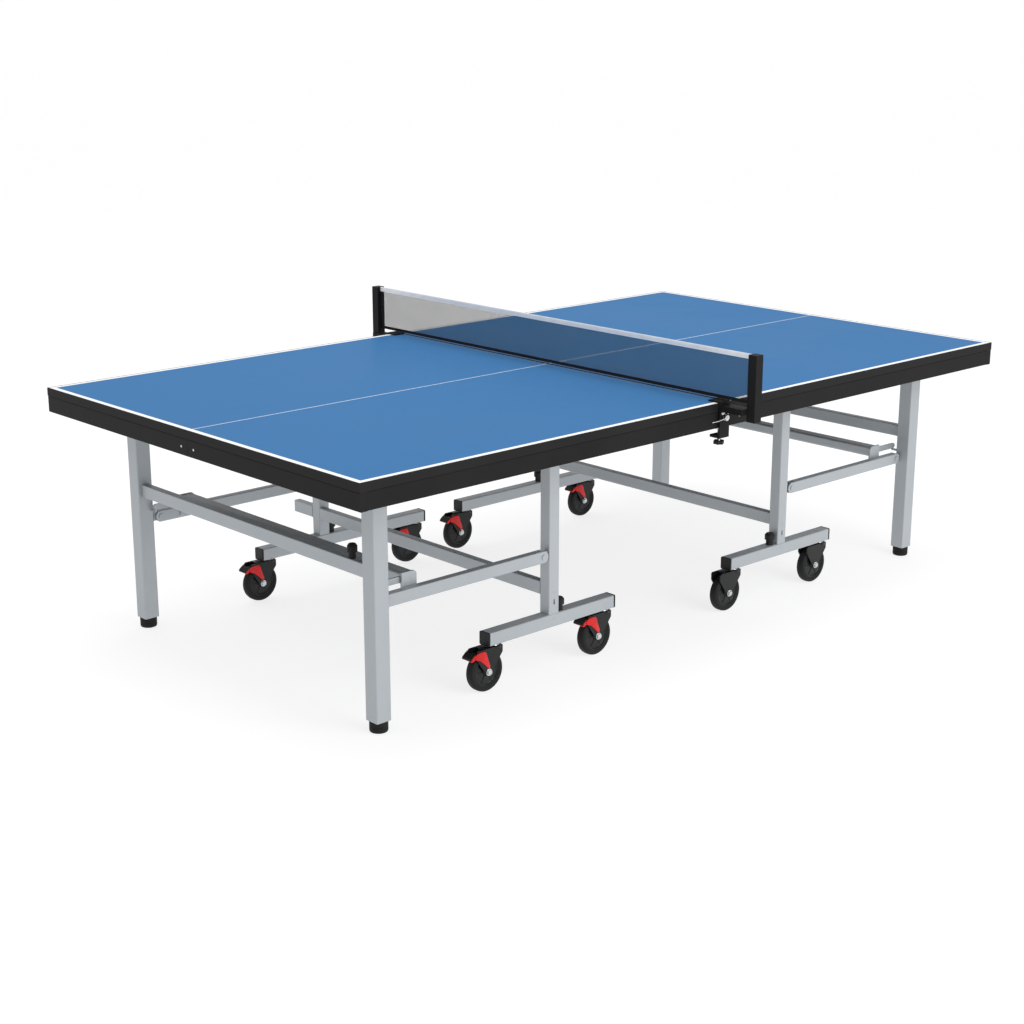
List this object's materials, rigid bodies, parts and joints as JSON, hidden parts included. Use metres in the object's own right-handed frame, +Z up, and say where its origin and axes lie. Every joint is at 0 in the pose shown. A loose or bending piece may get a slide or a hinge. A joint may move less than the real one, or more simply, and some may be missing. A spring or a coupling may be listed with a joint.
{
  "type": "table tennis table",
  "caption": "Table tennis table in two rolling halves that fold upright on steel trolleys, with screw feet, braked swivel casters and a clamp-on net.",
  "frame": {"origin": "on the floor, under the middle of the table", "axes": "+X along the table, from the left half to the right half; +Y across it; +Z up"},
  "size_m": [2.74, 1.755, 0.9125],
  "materials": {
    "board": "matte blue lacquer",
    "edge_band": "satin black",
    "black_steel": "satin black powder coat",
    "silver_tube": "satin silver-grey powder coat",
    "black_plastic": "fine-grained moulded plastic",
    "black_rubber": "matte moulded rubber",
    "bright_steel": "zinc-bright steel",
    "caster_fork": "smooth semi-gloss black",
    "wheel_rubber": "smooth black rubber",
    "brake_red": "gloss red moulded plastic",
    "net_cloth": "open dark mesh",
    "tape_cloth": "white woven tape"
  },
  "bodies": {
    "left_trolley": {"left_uprights": "silver_tube", "left_base_bars": "silver_tube", "left_trolley_cross_bar": "silver_tube", "left_base_caps": "black_plastic", "left_trolley_bolts": "bright_steel"},
    "left_top": {"left_top_board": "board", "left_edge_trim": "edge_band", "left_aprons": "black_steel", "left_top_rails": "black_steel", "net_posts": "black_steel", "net_mesh": "net_cloth", "net_tape": "tape_cloth"},
    "left_side_bars": {"left_side_bars": "silver_tube"},
    "left_lock_bar": {"left_lock_bar": "silver_tube"},
    "left_legs": {"left_end_legs": "silver_tube", "left_leg_cross_bar": "silver_tube", "left_leg_bolts": "bright_steel", "left_leg_buffer": "black_rubber"},
    "left_near_foot": {"left_near_foot": "black_rubber"},
    "left_far_foot": {"left_far_foot": "black_rubber"},
    "left_near_outer_fork": {"left_near_outer_fork": "caster_fork"},
    "left_near_outer_wheel": {"left_near_outer_wheel": "wheel_rubber"},
    "left_near_outer_brake": {"left_near_outer_brake": "brake_red"},
    "left_near_inner_fork": {"left_near_inner_fork": "caster_fork"},
    "left_near_inner_wheel": {"left_near_inner_wheel": "wheel_rubber"},
    "left_near_inner_brake": {"left_near_inner_brake": "brake_red"},
    "left_far_outer_fork": {"left_far_outer_fork": "caster_fork"},
    "left_far_outer_wheel": {"left_far_outer_wheel": "wheel_rubber"},
    "left_far_outer_brake": {"left_far_outer_brake": "brake_red"},
    "left_far_inner_fork": {"left_far_inner_fork": "caster_fork"},
    "left_far_inner_wheel": {"left_far_inner_wheel": "wheel_rubber"},
    "left_far_inner_brake": {"left_far_inner_brake": "brake_red"},
    "right_trolley": {"right_uprights": "silver_tube", "right_base_bars": "silver_tube", "right_trolley_cross_bar": "silver_tube", "right_base_caps": "black_plastic", "right_trolley_bolts": "bright_steel"},
    "right_top": {"right_top_board": "board", "right_edge_trim": "edge_band", "right_aprons": "black_steel", "right_top_rails": "black_steel"},
    "right_side_bars": {"right_side_bars": "silver_tube"},
    "right_lock_bar": {"right_lock_bar": "silver_tube"},
    "right_legs": {"right_end_legs": "silver_tube", "right_leg_cross_bar": "silver_tube", "right_leg_bolts": "bright_steel"},
    "right_near_foot": {"right_near_foot": "black_rubber"},
    "right_far_foot": {"right_far_foot": "black_rubber"},
    "right_near_outer_fork": {"right_near_outer_fork": "caster_fork"},
    "right_near_outer_wheel": {"right_near_outer_wheel": "wheel_rubber"},
    "right_near_inner_fork": {"right_near_inner_fork": "caster_fork"},
    "right_near_inner_wheel": {"right_near_inner_wheel": "wheel_rubber"},
    "right_far_outer_fork": {"right_far_outer_fork": "caster_fork"},
    "right_far_outer_wheel": {"right_far_outer_wheel": "wheel_rubber"},
    "right_far_outer_brake": {"right_far_outer_brake": "brake_red"},
    "right_far_inner_fork": {"right_far_inner_fork": "caster_fork"},
    "right_far_inner_wheel": {"right_far_inner_wheel": "wheel_rubber"},
    "right_far_inner_brake": {"right_far_inner_brake": "brake_red"},
    "near_clamp_screw": {"near_clamp_screw": "bright_steel"},
    "far_clamp_screw": {"far_clamp_screw": "bright_steel"}
  },
  "joints": [
    {"name": "left_fold", "type": "hinge", "parent": "left_trolley", "child": "left_top", "pos_m": [-0.508, 0, 0.72], "axis": [0, 1, 0], "range_deg": [0, 90]},
    {"name": "left_side_bar_swing", "type": "hinge", "parent": "left_trolley", "child": "left_side_bars", "pos_m": [-0.56, 0, 0.355], "axis": [0, 1, 0], "range_deg": [0, 90]},
    {"name": "left_leg_swing", "type": "hinge", "parent": "left_top", "child": "left_legs", "pos_m": [-1.079, 0, 0.72], "axis": [0, -1, 0], "range_deg": [0, 90]},
    {"name": "left_lock_lift", "type": "hinge", "parent": "left_side_bars", "child": "left_lock_bar", "pos_m": [-1.038, 0, 0.393], "axis": [0, 1, 0], "range_deg": [0, 10]},
    {"name": "left_near_foot_level", "type": "slide", "parent": "left_legs", "child": "left_near_foot", "axis": [0, 0, -1], "range_m": [0, 0.015]},
    {"name": "left_far_foot_level", "type": "slide", "parent": "left_legs", "child": "left_far_foot", "axis": [0, 0, -1], "range_m": [0, 0.015]},
    {"name": "left_near_outer_swivel", "type": "hinge", "parent": "left_trolley", "child": "left_near_outer_fork", "pos_m": [-0.738, -0.548, 0.135], "axis": [0, 0, 1], "continuous": true},
    {"name": "left_near_outer_roll", "type": "hinge", "parent": "left_near_outer_fork", "child": "left_near_outer_wheel", "pos_m": [-0.773, -0.548, 0.061], "axis": [0, 1, 0], "continuous": true},
    {"name": "left_near_outer_brake_press", "type": "hinge", "parent": "left_near_outer_fork", "child": "left_near_outer_brake", "pos_m": [-0.81, -0.548, 0.119], "axis": [0, -1, 0], "range_deg": [0, 15]},
    {"name": "left_near_inner_swivel", "type": "hinge", "parent": "left_trolley", "child": "left_near_inner_fork", "pos_m": [-0.298, -0.548, 0.135], "axis": [0, 0, 1], "continuous": true},
    {"name": "left_near_inner_roll", "type": "hinge", "parent": "left_near_inner_fork", "child": "left_near_inner_wheel", "pos_m": [-0.333, -0.548, 0.061], "axis": [0, 1, 0], "continuous": true},
    {"name": "left_near_inner_brake_press", "type": "hinge", "parent": "left_near_inner_fork", "child": "left_near_inner_brake", "pos_m": [-0.37, -0.548, 0.119], "axis": [0, -1, 0], "range_deg": [0, 15]},
    {"name": "left_far_outer_swivel", "type": "hinge", "parent": "left_trolley", "child": "left_far_outer_fork", "pos_m": [-0.738, 0.548, 0.135], "axis": [0, 0, 1], "continuous": true},
    {"name": "left_far_outer_roll", "type": "hinge", "parent": "left_far_outer_fork", "child": "left_far_outer_wheel", "pos_m": [-0.773, 0.548, 0.061], "axis": [0, 1, 0], "continuous": true},
    {"name": "left_far_outer_brake_press", "type": "hinge", "parent": "left_far_outer_fork", "child": "left_far_outer_brake", "pos_m": [-0.81, 0.548, 0.119], "axis": [0, -1, 0], "range_deg": [0, 15]},
    {"name": "left_far_inner_swivel", "type": "hinge", "parent": "left_trolley", "child": "left_far_inner_fork", "pos_m": [-0.118, 0.548, 0.135], "axis": [0, 0, 1], "continuous": true},
    {"name": "left_far_inner_roll", "type": "hinge", "parent": "left_far_inner_fork", "child": "left_far_inner_wheel", "pos_m": [-0.153, 0.548, 0.061], "axis": [0, 1, 0], "continuous": true},
    {"name": "left_far_inner_brake_press", "type": "hinge", "parent": "left_far_inner_fork", "child": "left_far_inner_brake", "pos_m": [-0.19, 0.548, 0.119], "axis": [0, -1, 0], "range_deg": [0, 15]},
    {"name": "halves_apart", "type": "slide", "parent": "left_trolley", "child": "right_trolley", "axis": [1, 0, 0], "range_m": [0, 0.6]},
    {"name": "right_fold", "type": "hinge", "parent": "right_trolley", "child": "right_top", "pos_m": [0.508, 0, 0.72], "axis": [0, -1, 0], "range_deg": [0, 90]},
    {"name": "right_side_bar_swing", "type": "hinge", "parent": "right_trolley", "child": "right_side_bars", "pos_m": [0.56, 0, 0.355], "axis": [0, -1, 0], "range_deg": [0, 90]},
    {"name": "right_leg_swing", "type": "hinge", "parent": "right_top", "child": "right_legs", "pos_m": [1.079, 0, 0.72], "axis": [0, 1, 0], "range_deg": [0, 90]},
    {"name": "right_lock_lift", "type": "hinge", "parent": "right_side_bars", "child": "right_lock_bar", "pos_m": [1.038, 0, 0.393], "axis": [0, -1, 0], "range_deg": [0, 10]},
    {"name": "right_near_foot_level", "type": "slide", "parent": "right_legs", "child": "right_near_foot", "axis": [0, 0, -1], "range_m": [0, 0.015]},
    {"name": "right_far_foot_level", "type": "slide", "parent": "right_legs", "child": "right_far_foot", "axis": [0, 0, -1], "range_m": [0, 0.015]},
    {"name": "right_near_outer_swivel", "type": "hinge", "parent": "right_trolley", "child": "right_near_outer_fork", "pos_m": [0.738, -0.548, 0.135], "axis": [0, 0, 1], "continuous": true},
    {"name": "right_near_outer_roll", "type": "hinge", "parent": "right_near_outer_fork", "child": "right_near_outer_wheel", "pos_m": [0.703, -0.548, 0.061], "axis": [0, 1, 0], "continuous": true},
    {"name": "right_near_inner_swivel", "type": "hinge", "parent": "right_trolley", "child": "right_near_inner_fork", "pos_m": [0.298, -0.548, 0.135], "axis": [0, 0, 1], "continuous": true},
    {"name": "right_near_inner_roll", "type": "hinge", "parent": "right_near_inner_fork", "child": "right_near_inner_wheel", "pos_m": [0.263, -0.548, 0.061], "axis": [0, 1, 0], "continuous": true},
    {"name": "right_far_outer_swivel", "type": "hinge", "parent": "right_trolley", "child": "right_far_outer_fork", "pos_m": [0.738, 0.548, 0.135], "axis": [0, 0, 1], "continuous": true},
    {"name": "right_far_outer_roll", "type": "hinge", "parent": "right_far_outer_fork", "child": "right_far_outer_wheel", "pos_m": [0.703, 0.548, 0.061], "axis": [0, 1, 0], "continuous": true},
    {"name": "right_far_outer_brake_press", "type": "hinge", "parent": "right_far_outer_fork", "child": "right_far_outer_brake", "pos_m": [0.666, 0.548, 0.119], "axis": [0, -1, 0], "range_deg": [0, 15]},
    {"name": "right_far_inner_swivel", "type": "hinge", "parent": "right_trolley", "child": "right_far_inner_fork", "pos_m": [0.118, 0.548, 0.135], "axis": [0, 0, 1], "continuous": true},
    {"name": "right_far_inner_roll", "type": "hinge", "parent": "right_far_inner_fork", "child": "right_far_inner_wheel", "pos_m": [0.083, 0.548, 0.061], "axis": [0, 1, 0], "continuous": true},
    {"name": "right_far_inner_brake_press", "type": "hinge", "parent": "right_far_inner_fork", "child": "right_far_inner_brake", "pos_m": [0.046, 0.548, 0.119], "axis": [0, -1, 0], "range_deg": [0, 15]},
    {"name": "near_clamp_turn_out", "type": "slide", "parent": "left_top", "child": "near_clamp_screw", "axis": [0, 0, -1], "range_m": [0, 0.015]},
    {"name": "far_clamp_turn_out", "type": "slide", "parent": "left_top", "child": "far_clamp_screw", "axis": [0, 0, -1], "range_m": [0, 0.015]}
  ],
  "couplings": [
    {"joint": "left_side_bar_swing", "follows": "left_fold", "ratio": 1},
    {"joint": "left_leg_swing", "follows": "left_fold", "ratio": 1},
    {"joint": "halves_apart", "follows": "left_fold", "m_per_rad": 0.3819},
    {"joint": "right_side_bar_swing", "follows": "right_fold", "ratio": 1},
    {"joint": "right_leg_swing", "follows": "right_fold", "ratio": 1}
  ]
}
